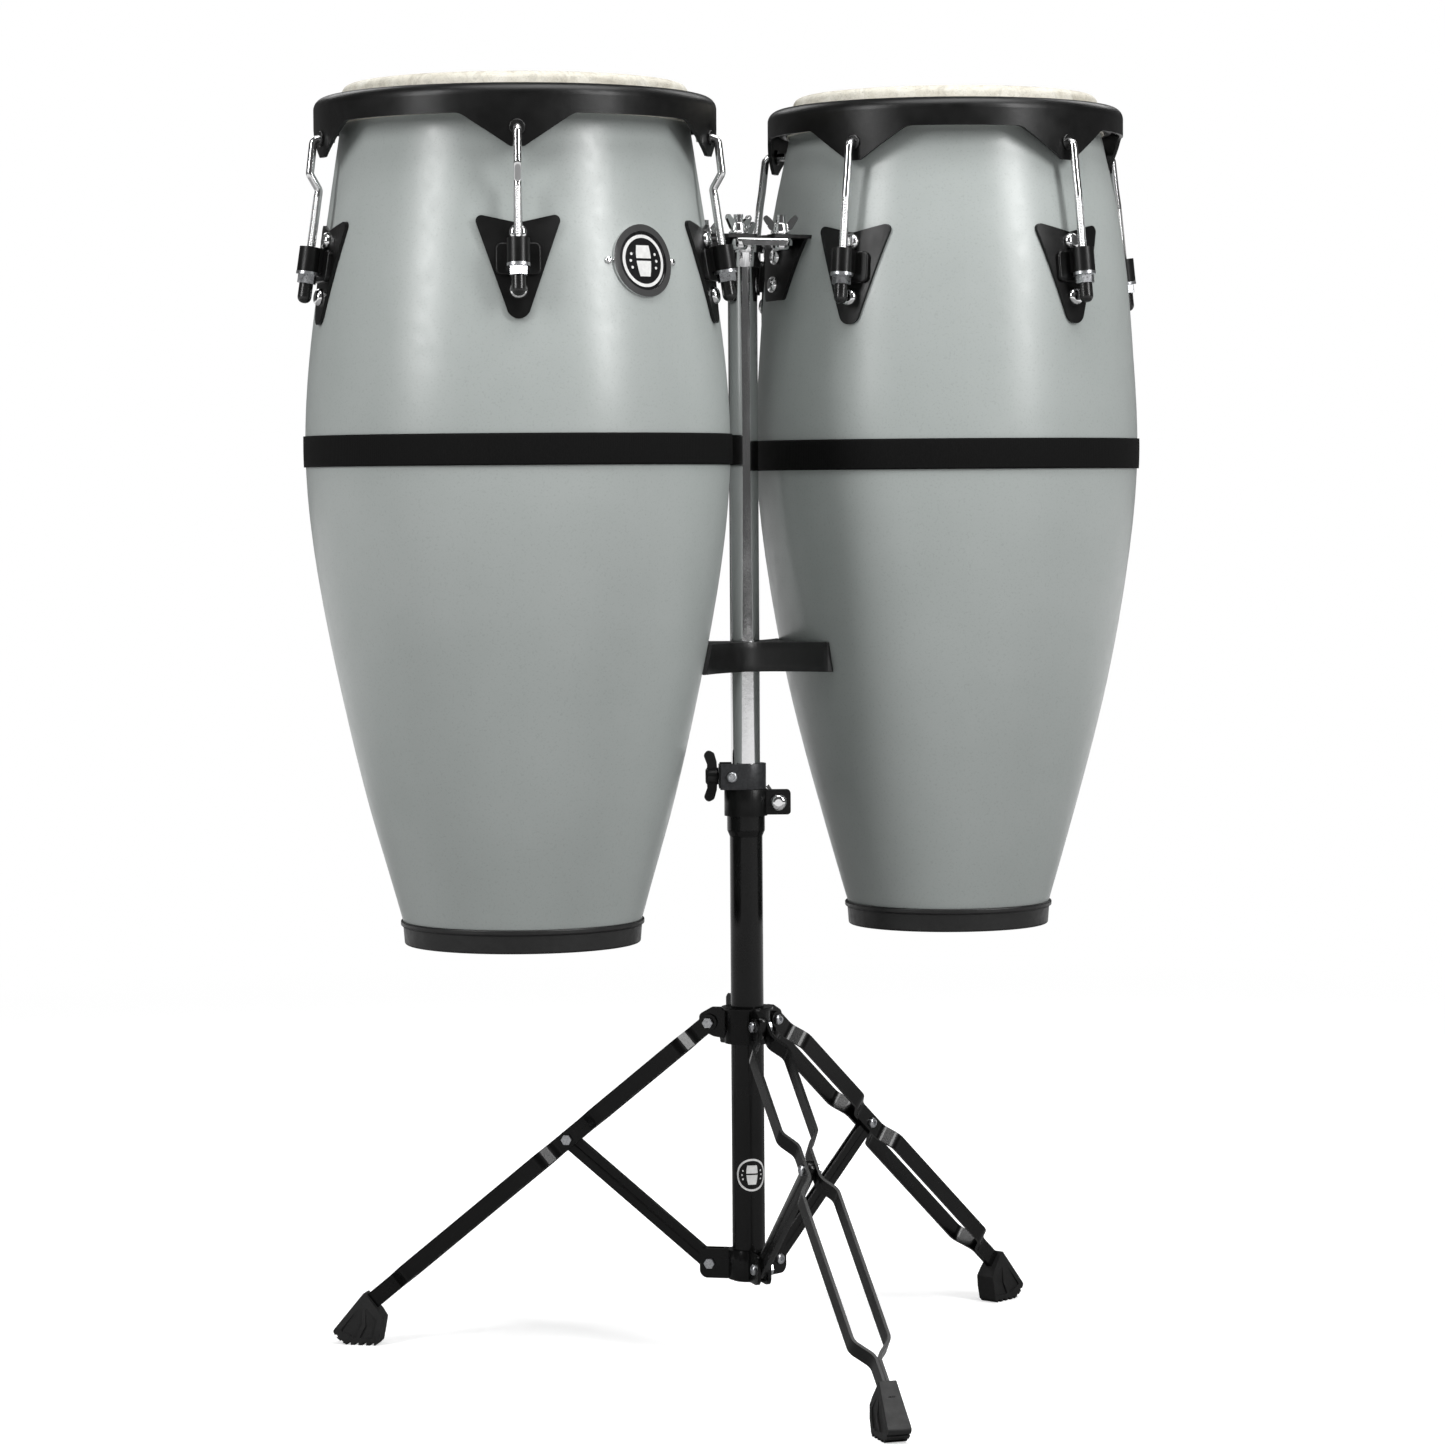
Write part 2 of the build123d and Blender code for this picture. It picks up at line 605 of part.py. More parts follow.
def pivot_bolt(x, z, outside):
    """A button-head bolt through a pivot, with a nut on its far side."""
    bolt = Pos(x, -outside, z) * Rot(90, 0, 0) * button_screw(4.6, 2.8, PIN_R, 2 * outside + 3.6)
    nut = Pos(x, outside, z) * Rot(-90, 0, 0) * hex_nut(8.0, 3.6, PIN_R - 0.02)
    return bolt + nut


def strap():
    """One flat strap of a leg, cranked outwards between its pivots."""
    to_b = hypot(B_R - PIVOT_R, P_Z - B_Z)
    stations = [(0, STRAP_IN), (18, STRAP_IN), (31, STRAP_OUT), (to_b - 36, STRAP_OUT),
                (to_b - 22, STRAP_IN), (to_b + 15, STRAP_IN), (to_b + 28, STRAP_OUT),
                (MOUTH - 40, STRAP_OUT), (MOUTH - 24, 1.5), (MOUTH + 18, 1.5)]
    line = FilletPolyline(*[leg_plane_point(s, t) for s, t in stations], radius=12)
    angle = atan2(B_R - PIVOT_R, P_Z - B_Z)
    section = Plane(line @ 0, x_dir=(cos(angle), 0, sin(angle)), z_dir=line % 0) * Rectangle(*STRAP)
    body = sweep(section, path=line)
    end = Pos(PIVOT_R, STRAP_IN, P_Z) * Rot(90, 0, 0) * Cylinder(STRAP[0] / 2, STRAP[1])
    return body + end - cross_pin(PIVOT_R, P_Z, PIN_R + 0.3, 30) - cross_pin(B_R, B_Z, PIN_R + 0.1, 30)


def leg():
    """Two mirrored straps and the bolt of the brace pivot."""
    one = strap()
    outside = STRAP_IN + STRAP[1] / 2 + 0.1
    return [one, mirror(one, Plane.XZ), pivot_bolt(B_R, B_Z, outside)]


def foot():
    """A faceted rubber foot on a rocking, toothed sole."""
    side = [(0, 46.1, 1.2), (-12.8, 30.7, 0), (-17, 24, 1.5), (-13, 3, 1.5), (-10, 0, 0), (15, 0, 0),
            (20, 2, 0), (25.5, 7, 1.0), (28, 12, 2.5)]
    block_shape = extrude(Plane.XZ * rounded([(FOOT_R + x, z, r) for x, z, r in side]), 20, both=True)
    front = rounded([(-6.8, 50, 0), (6.8, 50, 0), (9.8, 14, 2), (9.2, -1, 0), (-9.2, -1, 0), (-9.8, 14, 2)])
    front = Pos(FOOT_R - 60, 0, 0) * extrude(Plane.YZ * front, 120)
    grooves = [block(FOOT_R - 9 + 7 * i, FOOT_R - 5.6 + 7 * i, -25, 25, -1, 2.2) for i in range(4)]
    toe = [Pos(FOOT_R + x, 0, z) * Rot(0, -42, 0) * Box(2.6, 50, 3) for x, z in ((20.6, 2.2), (25.4, 7.2))]
    return (block_shape & front) - grooves - toe - foot_panels() - foot_pocket()


def foot_panels():
    """Shallow recesses each side of a rib, on both flanks."""
    outer = [(2, 36, 0.8), (21.5, 12.5, 1.5), (8, 6, 1.5), (1.5, 19, 0.8)]
    inner = [(-1.5, 33, 0.8), (-1.5, 17, 0.8), (4.5, 6, 1.2), (-8, 6, 1.5), (-12, 22, 1.5)]
    flanks = []
    for outline in (outer, inner):
        panel = Plane.XZ * rounded([(FOOT_R + x, z, r) for x, z, r in outline])
        flanks += [Pos(0, side * 18, 0) * extrude(panel, 9.8, both=True) for side in (-1, 1)]
    return flanks


def foot_pocket():
    """The slot in the foot that the two straps sit in."""
    angle = degrees(atan2(B_R - PIVOT_R, P_Z - B_Z))
    x, y, z = leg_plane_point(MOUTH, 0)
    return Pos(x, y, z) * Rot(0, 180 - angle, 0) * Box(STRAP[0] + 0.4, 6.0, 37)


def brace():
    """A folded channel from the fixed collar to the leg."""
    length = hypot(B_R - PIVOT_R, B_Z - Q_Z)
    width, thick, wall = 15.0, 5.6, 1.6
    bar = block(0, length, -thick / 2, thick / 2, -width / 2, width / 2)
    ends = [Pos(x, 0, 0) * Rot(90, 0, 0) * Cylinder(width / 2, thick) for x in (0, length)]
    hollow = block(12, length - 12, wall - thick / 2, thick / 2 - wall, wall - width / 2, width)
    body = bar + ends - hollow
    angle = degrees(atan2(B_Z - Q_Z, B_R - PIVOT_R))
    body = Pos(PIVOT_R, 0, Q_Z) * Rot(0, -angle, 0) * body
    return body - cross_pin(PIVOT_R, Q_Z, PIN_R + 0.08, 30) - cross_pin(B_R, B_Z, PIN_R + 0.08, 30)


def lower_collar():
    """The fixed collar at the foot of the base tube, a pair of ears to a leg."""
    half = 12.6
    ring = rod(17.6, Q_Z - half, Q_Z + half)
    inner, outer = 2.8 + GAP, 2.8 + GAP + SHEET
    ear = rounded([(10, Q_Z - half, 0), (PIVOT_R + 8.8, Q_Z - half, 7), (PIVOT_R + 8.8, Q_Z + half, 3),
                   (10, Q_Z + half, 0)])
    ears = extrude(Plane.XZ * ear, outer, both=True) - block(17.6, 60, -inner, inner, 0, 200)
    body = ring + round_about(LEG_ANGLES.values(), [ears])
    pins = round_about(LEG_ANGLES.values(), [cross_pin(PIVOT_R, Q_Z, PIN_R + 0.1, 20)])
    return body - rod(BASE_R + 0.02, 0, 200) - pins


def lower_pivots():
    return round_about(LEG_ANGLES.values(), [pivot_bolt(PIVOT_R, Q_Z, 2.8 + GAP + SHEET + 0.1)])


def leg_collar():
    """The sliding collar, with one lug to a leg and a boss for its knob."""
    low, high = P_Z - 17, P_Z + 14
    ring = rod(19.5, low, high) + rod(22.0, high - 2.5, high)
    cheek = rounded([(10, low + 2, 0), (PIVOT_R - 4, low + 5, 4), (PIVOT_R + 8.5, P_Z - 6, 5),
                     (PIVOT_R + 8.5, P_Z + 7, 5), (PIVOT_R - 2, high - 1, 4), (10, high - 1, 0)])
    lug_ear = extrude(Plane.XZ * cheek, 2.8, both=True)
    boss = Rot(0, 0, 115) * Pos(22, 0, P_Z) * Rot(0, 90, 0) * Cylinder(8.0, 12)
    body = ring + round_about(LEG_ANGLES.values(), [lug_ear]) + boss
    pins = round_about(LEG_ANGLES.values(), [cross_pin(PIVOT_R, P_Z, PIN_R + 0.1, 20)])
    screw = Rot(0, 0, 115) * Pos(22, 0, P_Z) * Rot(0, 90, 0) * Cylinder(3.1, 30)
    return body - rod(BASE_R + 0.08, 0, 500) - pins - screw


def collar_pivots():
    outside = STRAP_IN + STRAP[1] / 2 + GAP
    return round_about(LEG_ANGLES.values(), [pivot_bolt(PIVOT_R, P_Z, outside)])


def leg_wing():
    """The sliding collar's thumb knob."""
    return Rot(0, 0, 115) * Pos(28 + GAP, 0, P_Z) * Rot(0, 90, 0) * Rot(0, 0, 10) * wing_knob(3.0, 12.6)


def stand_pieces():
    nodes = {
        "stop_collar": [stop_collar()],
        "stop_collar_block": [stop_block()],
        "stop_collar_screws": stop_screws(),
        "stop_collar_wing": [stop_wing()],
        "tube_clamp": [tube_clamp()],
        "tube_clamp_bolt": [clamp_bolt()],
        "tube_clamp_wing": [clamp_wing()],
        "base_tube": [base_tube()],
        "tube_bushing": [tube_bushing()],
        "lower_collar": [lower_collar()],
        "lower_pivots": lower_pivots(),
        "leg_collar": [leg_collar()],
        "collar_pivots": collar_pivots(),
        "leg_collar_wing": [leg_wing()],
    }
    for name, angle in LEG_ANGLES.items():
        nodes[f"leg_{name}"] = round_about([angle], leg())
        nodes[f"foot_{name}"] = round_about([angle], [foot()])
        nodes[f"brace_{name}"] = round_about([angle], [brace()])
    return nodes


# ------------------------------------------------------------------ export

def export(nodes):
    os.makedirs("parts", exist_ok=True)
    for name, solids in nodes.items():
        bodies = [Pos(*TUBE_PLACE) * solid for shape in solids for solid in shape.solids()]
        shape = bodies[0] if len(bodies) == 1 else Compound(children=bodies)
        export_step(shape, f"parts/{name}.step")


export({**drum_pieces(LARGE), **drum_pieces(SMALL), **upper_pieces(), **stand_pieces()})
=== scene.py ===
import json
import math

import bpy
from mathutils import Matrix, Vector, noise
from mathutils.bvhtree import BVHTree


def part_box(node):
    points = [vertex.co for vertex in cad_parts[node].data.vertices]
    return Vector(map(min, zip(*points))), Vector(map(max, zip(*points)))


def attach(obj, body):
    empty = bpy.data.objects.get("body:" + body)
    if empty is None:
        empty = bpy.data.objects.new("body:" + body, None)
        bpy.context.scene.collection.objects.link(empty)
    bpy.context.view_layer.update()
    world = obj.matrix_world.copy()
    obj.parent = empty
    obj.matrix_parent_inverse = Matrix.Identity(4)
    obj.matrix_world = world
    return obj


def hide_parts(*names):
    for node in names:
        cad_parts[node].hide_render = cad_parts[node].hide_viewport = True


# Looks for a pair of conga drums on their folding double stand.
# Everything is in metres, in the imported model's own frame: the floor is
# Z = 0 and the players are at +Y.

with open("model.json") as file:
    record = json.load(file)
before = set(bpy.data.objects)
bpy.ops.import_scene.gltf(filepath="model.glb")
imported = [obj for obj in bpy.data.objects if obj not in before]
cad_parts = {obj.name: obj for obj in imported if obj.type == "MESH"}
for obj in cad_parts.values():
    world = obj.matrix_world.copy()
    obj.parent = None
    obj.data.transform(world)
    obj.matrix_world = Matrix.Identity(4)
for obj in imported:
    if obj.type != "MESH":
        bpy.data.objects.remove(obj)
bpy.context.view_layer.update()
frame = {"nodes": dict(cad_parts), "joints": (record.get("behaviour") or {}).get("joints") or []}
NODES = frame["nodes"]

MM = 0.001
DRUMS = ("large", "small")
LEGS = ("left", "right", "front")

# The hides
HEAD_SEGMENTS = 192
FLAT_RINGS = 40              # rings of vertices across the flat top
SHOULDER = 7.5 * MM          # radius of the rolled shoulder
SHOULDER_STEPS = 9
SKIRT_STEPS = 8
CROWN = 0.35 * MM            # how far the edge lies below the middle
HIDE_THICK = 2.2 * MM
HIDE_UNDERSIDE = 2.3 * MM    # depth of the underside below the top
SWELL = 0.12 * MM            # unevenness of the hide
SWELL_SIZE = 1 / 45.0        # metres

# The woven bands
BAND_RIB = 2.1 * MM          # pitch of the ribs
RIB_STEPS = 4
RIB_DEPTH = 0.22 * MM
BAND_ROWS = 14
BAND_THICK = 1.4 * MM
SELVEDGE = 1.6 * MM          # width of the rolled edge
SELVEDGE_RISE = 0.18 * MM

# The rolled threads of the hooks
THREAD_PITCH = 1.27 * MM
THREAD_ROOT = 3.2 * MM       # radius at the bottom of the thread
THREAD_DEPTH = 0.42 * MM
THREAD_SIDES = 18
THREAD_ROWS = 6              # rows of vertices to one turn of the thread

# The emblems
BADGE_EMBLEM_R = 21.5 * MM
TUBE_EMBLEM_R = 14.2 * MM
TUBE_EMBLEM_Z = 0.159
TUBE_EMBLEM_DEG = 12.0       # from the front, towards +X

CAMERA_PLACE = (-0.0929, -3.7076, 0.7462)   # from the foot of the stand's tube
CAMERA_PITCH = 3.11          # degrees below the horizon
CAMERA_TURN = -1.135         # degrees from straight along +Y
CAMERA_ROLL = -0.40
CAMERA_LENS = 108.8          # mm on a sensor 36 mm wide


# ------------------------------------------------------------ material kit

class Graph:
    """A node tree with one Principled shader, built up in calls."""

    def __init__(self, name, color, roughness, metallic=0.0, **extra):
        self.material = bpy.data.materials.new(name)
        self.material.use_nodes = True
        self.tree = self.material.node_tree
        self.shader = self.tree.nodes["Principled BSDF"]
        self.set("Base Color", (*color, 1.0))
        self.set("Roughness", roughness)
        self.set("Metallic", metallic)
        for socket, value in extra.items():
            self.set(socket.replace("_", " "), value)
        self.place = self.node("ShaderNodeTexCoord").outputs["Object"]

    def set(self, socket, value):
        self.shader.inputs[socket].default_value = value

    def node(self, kind, **values):
        made = self.tree.nodes.new(kind)
        for key, value in values.items():
            setattr(made, key, value)
        return made

    def link(self, output, target):
        self.tree.links.new(output, target)

    def stretched(self, scale):
        """The object's coordinates, scaled apart along each axis."""
        mapping = self.node("ShaderNodeMapping")
        mapping.inputs["Scale"].default_value = scale
        self.link(self.place, mapping.inputs["Vector"])
        return mapping.outputs["Vector"]

    def noise(self, size, detail=3.0, roughness=0.55, distortion=0.0, source=None):
        """Noise with features of about this size in metres."""
        made = self.node("ShaderNodeTexNoise")
        made.inputs["Scale"].default_value = 1.0 / size
        made.inputs["Detail"].default_value = detail
        made.inputs["Roughness"].default_value = roughness
        made.inputs["Distortion"].default_value = distortion
        self.link(source or self.place, made.inputs["Vector"])
        return made.outputs["Fac"]

    def cells(self, size, feature="F1"):
        made = self.node("ShaderNodeTexVoronoi", feature=feature)
        made.inputs["Scale"].default_value = 1.0 / size
        self.link(self.place, made.inputs["Vector"])
        return made.outputs["Distance"]

    def ramp(self, fac, stops):
        """Colours or greys at positions along a factor."""
        made = self.node("ShaderNodeValToRGB")
        band = made.color_ramp
        while len(band.elements) < len(stops):
            band.elements.new(0.5)
        for element, (position, value) in zip(band.elements, stops):
            element.position = position
            value = value if isinstance(value, tuple) else (value, value, value)
            element.color = (*value, 1.0)
        self.link(fac, made.inputs["Fac"])
        return made.outputs["Color"]

    def mix(self, fac, first, second, blend="MIX"):
        made = self.node("ShaderNodeMix", data_type="RGBA", blend_type=blend)
        for socket, value in ((made.inputs[0], fac), (made.inputs[6], first), (made.inputs[7], second)):
            if isinstance(value, (int, float)):
                socket.default_value = value
            elif isinstance(value, tuple):
                socket.default_value = (*value, 1.0)
            else:
                self.link(value, socket)
        return made.outputs[2]

    def math(self, operation, first, second):
        made = self.node("ShaderNodeMath", operation=operation)
        for socket, value in zip(made.inputs, (first, second)):
            if isinstance(value, (int, float)):
                socket.default_value = value
            else:
                self.link(value, socket)
        return made.outputs["Value"]

    def color(self, output):
        self.link(output, self.shader.inputs["Base Color"])
        return self

    def roughness(self, fac, low, high):
        """Roughness that wanders between two values with a factor."""
        made = self.node("ShaderNodeMapRange")
        made.inputs["From Min"].default_value = 0.3
        made.inputs["From Max"].default_value = 0.7
        made.inputs["To Min"].default_value = low
        made.inputs["To Max"].default_value = high
        self.link(fac, made.inputs["Value"])
        self.link(made.outputs["Result"], self.shader.inputs["Roughness"])
        return self

    def bump(self, *layers):
        """Stacked bumps from (height output, depth in metres) pairs."""
        normal = None
        for height, depth in layers:
            made = self.node("ShaderNodeBump")
            made.inputs["Distance"].default_value = depth
            self.link(height, made.inputs["Height"])
            if normal:
                self.link(normal, made.inputs["Normal"])
            normal = made.outputs["Normal"]
        self.link(normal, self.shader.inputs["Normal"])
        return self


# --------------------------------------------------------------- materials

def shell_paint():
    """Satin lacquer over wood, with a faint orange peel."""
    g = Graph("shell_paint", (0.36, 0.385, 0.375), 0.4)
    cloud = g.noise(0.09, detail=4.0)
    tint = g.ramp(cloud, [(0.3, (0.345, 0.372, 0.361)), (0.7, (0.372, 0.398, 0.388))])
    speck = g.ramp(g.noise(0.0016, detail=1.0), [(0.30, 0.90), (0.42, 1.0)])
    g.color(g.mix(1.0, tint, speck, "MULTIPLY"))
    g.roughness(g.noise(0.012), 0.28, 0.36)
    return g.bump((g.noise(0.0035, detail=2.0), 0.00006), (g.noise(0.0007, detail=1.0), 0.00001)).material


def bare_wood():
    """The unpainted inside of the shell: upright grain."""
    g = Graph("bare_wood", (0.38, 0.24, 0.13), 0.65)
    along = g.stretched((1.0, 1.0, 0.06))
    grain = g.noise(0.004, detail=5.0, distortion=0.6, source=along)
    tone = g.ramp(grain, [(0.25, (0.20, 0.115, 0.055)), (0.5, (0.38, 0.24, 0.13)), (0.8, (0.50, 0.34, 0.20))])
    g.color(tone).roughness(grain, 0.58, 0.74)
    return g.bump((grain, 0.0003)).material


def rawhide():
    """Stretched hide: cloudy and finely freckled."""
    g = Graph("rawhide", (0.58, 0.54, 0.46), 0.5, Specular_IOR_Level=0.35)
    cloud = g.noise(0.035, detail=6.0, roughness=0.65, distortion=1.2)
    base = g.ramp(cloud, [(0.32, (0.44, 0.41, 0.34)), (0.5, (0.58, 0.555, 0.48)), (0.68, (0.70, 0.68, 0.61))])
    veins = g.ramp(g.noise(0.011, detail=5.0, roughness=0.7, distortion=2.2), [(0.40, 0.80), (0.50, 1.0)])
    base = g.mix(0.7, base, veins, "MULTIPLY")
    freckles = g.ramp(g.noise(0.0013, detail=2.0), [(0.30, 0.62), (0.42, 1.0)])
    base = g.mix(0.55, base, freckles, "MULTIPLY")
    g.color(base).roughness(cloud, 0.42, 0.62)
    return g.bump((g.noise(0.008, detail=5.0, distortion=1.0), 0.0004), (g.noise(0.0011), 0.00012)).material


def powder_coat():
    """Satin black powder coat on steel."""
    g = Graph("powder_coat", (0.003, 0.003, 0.003), 0.36, Specular_IOR_Level=0.3)
    wear = g.noise(0.02, detail=4.0)
    g.color(g.ramp(wear, [(0.3, (0.002, 0.002, 0.002)), (0.7, (0.004, 0.004, 0.004))]))
    g.roughness(wear, 0.30, 0.40)
    return g.bump((g.noise(0.0009, detail=2.0), 0.00004), (g.noise(0.004), 0.00005)).material


def gloss_black():
    """Glossy baked enamel on the tube and legs."""
    g = Graph("gloss_black", (0.004, 0.004, 0.004), 0.24, Specular_IOR_Level=0.22, Coat_Weight=0.12,
              Coat_Roughness=0.12)
    haze = g.noise(0.03, detail=4.0)
    g.color(g.ramp(haze, [(0.3, (0.002, 0.002, 0.002)), (0.7, (0.004, 0.004, 0.004))]))
    g.roughness(haze, 0.20, 0.30)
    return g.bump((g.noise(0.0025, detail=2.0), 0.00003)).material


def chrome(name="chrome", tone=0.80, low=0.05, high=0.13):
    """Plated steel with faint wiping marks."""
    g = Graph(name, (tone, tone, tone * 1.01), low, metallic=1.0)
    wipe = g.noise(0.015, detail=6.0, source=g.stretched((1.0, 1.0, 0.25)))
    g.color(g.ramp(wipe, [(0.3, (tone * 0.93,) * 3), (0.7, (tone, tone, tone * 1.01))]))
    g.roughness(wipe, low, high)
    return g.bump((g.noise(0.006, detail=2.0), 0.00002)).material


def zinc():
    """Zinc plating: duller, with spangle."""
    g = Graph("zinc", (0.55, 0.56, 0.58), 0.3, metallic=1.0)
    spangle = g.cells(0.0018)
    g.color(g.ramp(spangle, [(0.1, (0.48, 0.49, 0.51)), (0.7, (0.64, 0.65, 0.67))]))
    g.roughness(g.noise(0.003), 0.24, 0.38)
    return g.bump((g.noise(0.0012), 0.00003)).material


def rubber(name, tone, low, high, grain):
    g = Graph(name, (tone, tone, tone), (low + high) / 2)
    dust = g.noise(0.006, detail=5.0)
    g.color(g.ramp(dust, [(0.3, tone * 0.8), (0.75, tone * 1.5)]))
    g.roughness(dust, low, high)
    return g.bump((g.noise(0.0008, detail=3.0), grain), (g.noise(0.005), grain)).material


def moulded_plastic(name, tone, low, high):
    """Nylon with a fine spark-eroded texture."""
    g = Graph(name, (tone, tone, tone * 1.05), (low + high) / 2)
    flow = g.noise(0.01, detail=3.0)
    g.color(g.ramp(flow, [(0.3, tone * 0.85), (0.7, tone * 1.2)]))
    g.roughness(flow, low, high)
    return g.bump((g.cells(0.0006), 0.00003), (g.noise(0.003), 0.00004)).material


def cast_metal():
    """Charcoal paint over die-cast metal."""
    g = Graph("cast_metal", (0.035, 0.036, 0.038), 0.42, metallic=0.35)
    skin = g.noise(0.0025, detail=4.0)
    g.color(g.ramp(skin, [(0.3, (0.026, 0.027, 0.029)), (0.7, (0.048, 0.049, 0.052))]))
    g.roughness(skin, 0.36, 0.5)
    return g.bump((skin, 0.00008)).material


def webbing():
    """Black polyester webbing: the ribs are geometry, the yarn is here."""
    g = Graph("webbing", (0.006, 0.006, 0.006), 0.82, Specular_IOR_Level=0.12)
    yarn = g.noise(0.0006, detail=3.0, source=g.stretched((1.0, 1.0, 0.35)))
    g.color(g.ramp(yarn, [(0.3, (0.0015, 0.0015, 0.0015)), (0.7, (0.006, 0.006, 0.006))]))
    g.roughness(yarn, 0.70, 0.86)
    return g.bump((yarn, 0.00015)).material


def enamel(name, color, low, high):
    """Smooth filled enamel or print."""
    g = Graph(name, color, (low + high) / 2)
    depth = g.noise(0.004, detail=3.0)
    darker = tuple(channel * 0.86 for channel in color)
    g.color(g.ramp(depth, [(0.35, darker), (0.65, color)])).roughness(depth, low, high)
    return g.bump((g.noise(0.002), 0.00002)).material


PAINT = shell_paint()
WOOD = bare_wood()
HIDE = rawhide()
POWDER = powder_coat()
GLOSS = gloss_black()
CHROME = chrome()
BRIGHT_WIRE = chrome("hook_chrome", 0.72, 0.12, 0.22)
ZINC = zinc()
SOLE = rubber("sole_rubber", 0.008, 0.5, 0.7, 0.00010)
CAP_RUBBER = rubber("cap_rubber", 0.006, 0.22, 0.34, 0.00003)
BUMPER_RUBBER = rubber("bumper_rubber", 0.007, 0.36, 0.5, 0.00005)
PLASTIC = moulded_plastic("black_plastic", 0.005, 0.34, 0.46)
NYLON = moulded_plastic("black_nylon", 0.02, 0.3, 0.4)
CAST = cast_metal()
WEBBING = webbing()
BADGE_BLACK = enamel("badge_enamel", (0.010, 0.010, 0.011), 0.12, 0.2)
PRINT_WHITE = enamel("white_print", (0.75, 0.75, 0.74), 0.35, 0.45)

FINISHES = {
    "shell": PAINT, "flesh_hoop": POWDER, "rim": POWDER, "hook_grommets": CAP_RUBBER,
    "tuning_hooks": BRIGHT_WIRE, "tuning_nuts": ZINC, "hook_caps": CAP_RUBBER, "lugs": POWDER,
    "shell_bolts": CHROME, "bumper": BUMPER_RUBBER, "mount_bracket": POWDER,
}
OTHER_FINISHES = {
    "large_badge_bezel": CHROME, "large_badge_face": BADGE_BLACK,
    "riser_tube": CHROME, "top_plate": CHROME, "mount_bolts": CHROME,
    "cradle_yoke": PLASTIC, "cradle_pads": SOLE,
    "wing_nut_large_front": CHROME, "wing_nut_large_rear": CHROME,
    "wing_nut_small_front": CHROME, "wing_nut_small_rear": CHROME,
    "stop_collar": CAST, "stop_collar_block": CAST, "stop_collar_screws": ZINC, "stop_collar_wing": PLASTIC,
    "tube_clamp": POWDER, "tube_clamp_bolt": CHROME, "tube_clamp_wing": CHROME,
    "base_tube": GLOSS, "tube_bushing": NYLON, "lower_collar": GLOSS, "lower_pivots": ZINC,
    "leg_collar": GLOSS, "collar_pivots": ZINC, "leg_collar_wing": PLASTIC,
}
for leg_side in LEGS:
    OTHER_FINISHES[f"leg_{leg_side}"] = GLOSS
    OTHER_FINISHES[f"foot_{leg_side}"] = SOLE
    OTHER_FINISHES[f"brace_{leg_side}"] = GLOSS


# ------------------------------------------------------------- CAD finishes

SHARP_DEG = 35.0
BEVELS = {
    "foot": 0.5, "leg_collar": 0.7, "lower_collar": 0.7, "stop_collar": 0.6, "tube_clamp": 0.7,
    "cradle_yoke": 2.0, "wing_nut": 0.35, "top_plate": 0.5, "brace": 0.35,
}


def coat(node, material):
    """Give a CAD node its one material."""
    mesh = NODES[node].data
    mesh.materials.clear()
    mesh.materials.append(material)


def second_finish(node, material, chosen):
    """A further material on the polygons for which chosen(centre, normal) holds."""
    mesh = NODES[node].data
    mesh.materials.append(material)
    index = len(mesh.materials) - 1
    for polygon in mesh.polygons:
        if chosen(polygon.center, polygon.normal):
            polygon.material_index = index


def soften(node, width_mm):
    """Weld the CAD mesh and round its sharp edges a little."""
    cad = NODES[node]
    weld = cad.modifiers.new("weld", "WELD")
    weld.merge_threshold = 0.00001
    bevel = cad.modifiers.new("bevel", "BEVEL")
    bevel.width = width_mm * MM
    bevel.segments = 2
    bevel.limit_method = "ANGLE"
    bevel.angle_limit = math.radians(SHARP_DEG)
    bevel.harden_normals = True


# ---------------------------------------------------------------- geometry

def drum_axis(drum):
    """Where a drum's upright axis stands, from the middle of its bumper."""
    low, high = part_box(f"{drum}_bumper")
    return Vector(((low.x + high.x) / 2, (low.y + high.y) / 2, 0.0))


def tube_foot():
    """The point on the floor under the stand's tube."""
    low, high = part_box("riser_tube")
    return Vector(((low.x + high.x) / 2, (low.y + high.y) / 2, 0.0))


def radii(node, axis):
    """(height, distance from the axis) of every vertex of a CAD node."""
    return [(v.co.z, math.hypot(v.co.x - axis.x, v.co.y - axis.y)) for v in NODES[node].data.vertices]


def make_object(name, vertices, faces, material, smooth=True):
    mesh = bpy.data.meshes.new(name)
    mesh.from_pydata(vertices, [], faces)
    mesh.materials.append(material)
    for polygon in mesh.polygons:
        polygon.use_smooth = smooth
    mesh.update()
    made = bpy.data.objects.new(name, mesh)
    bpy.context.scene.collection.objects.link(made)
    return made


def grid_faces(rows, columns, close_rows=False):
    """Quads between rings of vertices, each ring closed on itself."""
    faces = []
    for i in range(rows if close_rows else rows - 1):
        for j in range(columns):
            a, b = i * columns + j, i * columns + (j + 1) % columns
            below = ((i + 1) % rows) * columns
            faces.append((a, b, below + (j + 1) % columns, below + j))
    return faces


def arc(cx, cz, radius, start, end, steps):
    """Points round a centre in the (radius, height) plane, angles in degrees."""
    points = []
    for i in range(steps + 1):
        angle = math.radians(start + (end - start) * i / steps)
        points.append((cx + radius * math.cos(angle), cz + radius * math.sin(angle)))
    return points


# ------------------------------------------------------------------- hides

